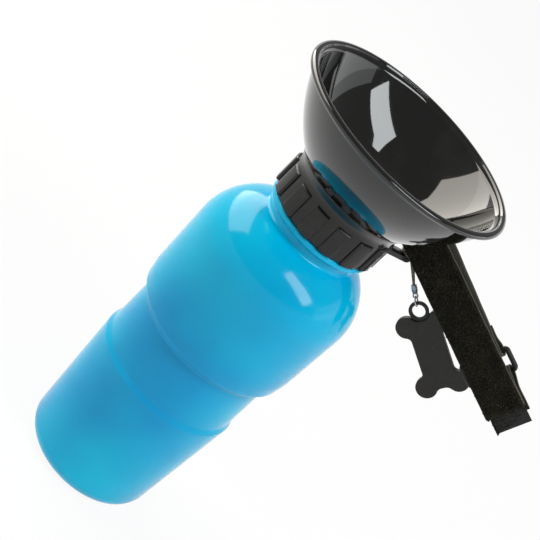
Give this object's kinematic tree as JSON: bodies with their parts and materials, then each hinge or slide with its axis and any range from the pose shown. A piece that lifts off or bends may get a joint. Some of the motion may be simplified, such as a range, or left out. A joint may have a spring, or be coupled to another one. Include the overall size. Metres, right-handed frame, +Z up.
{
  "type": "dog travel water bottle",
  "caption": "Squeeze bottle with a screw cap that carries a wide drinking bowl, a hook-and-loop hanging strap on a side bar and a small bone-shaped tag on a cord.",
  "frame": {"origin": "centre of the bottle's flat base", "axes": "+Z up along the bottle's axis, +X towards the side where the strap hangs"},
  "size_m": [0.1822, 0.1092, 0.228],
  "materials": {
    "bottle_shell": "gloss, slightly translucent",
    "cap": "gloss black",
    "bowl": "high gloss black",
    "gasket": "matt silicone",
    "tube": "satin, milky",
    "pile": "fuzzy loop pile",
    "backing": "smooth woven tape",
    "ring": "satin black",
    "hook": "moulded hook tape",
    "thread": "twisted thread",
    "cord": "waxed cord",
    "crimp": "satin",
    "wire": "bright",
    "tag": "satin"
  },
  "bodies": {
    "bottle": {"bottle": "bottle_shell"},
    "seal": {"mouth_gasket": "gasket"},
    "cap": {"cap_collar": "cap", "bowl": "bowl", "bowl_seal": "gasket", "siphon_tube": "tube"},
    "strap": {"strap_pile_tape": "pile", "strap_backing": "backing", "strap_ring": "ring", "strap_hook_patch": "hook", "strap_stitching": "thread"},
    "cord": {"tag_cord": "cord", "cord_crimp": "crimp"},
    "tag": {"jump_ring": "wire", "bone_tag": "tag"}
  },
  "joints": [
    {"name": "cap_lift", "type": "slide", "parent": "bottle", "child": "seal", "axis": [0, 0, 1], "range_m": [0, 0.006]},
    {"name": "cap_turn", "type": "hinge", "parent": "seal", "child": "cap", "pos_m": [0, 0, 0.18], "axis": [0, 0, 1], "range_deg": [0, 540]},
    {"name": "strap_swing", "type": "hinge", "parent": "cap", "child": "strap", "pos_m": [0.03527, 0.033, 0.189], "axis": [0, 0, 1], "range_deg": [-30, 110]},
    {"name": "cord_swing", "type": "hinge", "parent": "strap", "child": "cord", "pos_m": [0.03527, 0.033, 0.17725], "axis": [0, 0, 1], "range_deg": [-1.5, 10]},
    {"name": "tag_swing", "type": "hinge", "parent": "cord", "child": "tag", "pos_m": [0.05143, 0.03442, 0.16489], "axis": [-0.0872, 0.9962, 0], "range_deg": [-10, 60]}
  ],
  "couplings": [
    {"joint": "cap_lift", "follows": "cap_turn", "m_per_rad": 0.00063662}
  ]
}
